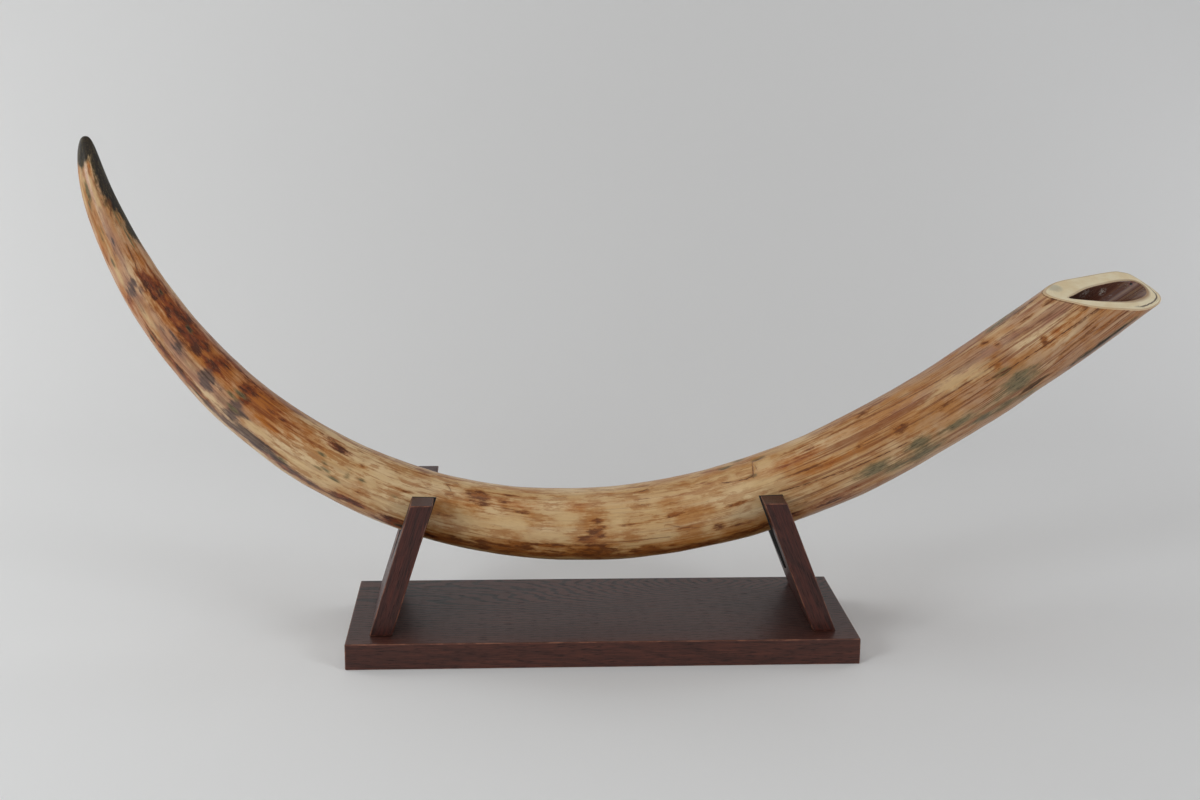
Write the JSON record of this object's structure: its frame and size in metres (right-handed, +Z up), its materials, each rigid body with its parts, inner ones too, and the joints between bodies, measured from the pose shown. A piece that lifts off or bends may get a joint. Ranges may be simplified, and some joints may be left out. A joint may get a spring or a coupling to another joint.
{
  "type": "mammoth tusk on display stand",
  "caption": "Curved fossil mammoth tusk with a sawn hollow root end, resting in the lined V notches of two leaning supports on a flat dark wooden board.",
  "frame": {"origin": "centre of the underside of the stand's board", "axes": "+Z up; +X along the board's length towards the tusk's sawn root end; -Y is the front, from which the tusk is seen side on"},
  "size_m": [1.2207, 0.22, 0.5755],
  "materials": {
    "fossil_ivory": "polished, stained brown, amber and grey, with long streaks and small cracks",
    "dark_wood": "dark stained open-grained hardwood, satin varnish",
    "black_rubber": "matte",
    "screw_steel": "zinc plated"
  },
  "bodies": {
    "root": {"tusk": "fossil_ivory", "base_board": "dark_wood", "left_support": "dark_wood", "right_support": "dark_wood", "left_liner": "black_rubber", "right_liner": "black_rubber", "left_screw_front": "screw_steel", "left_screw_back": "screw_steel", "right_screw_front": "screw_steel", "right_screw_back": "screw_steel"}
  },
  "joints": []
}
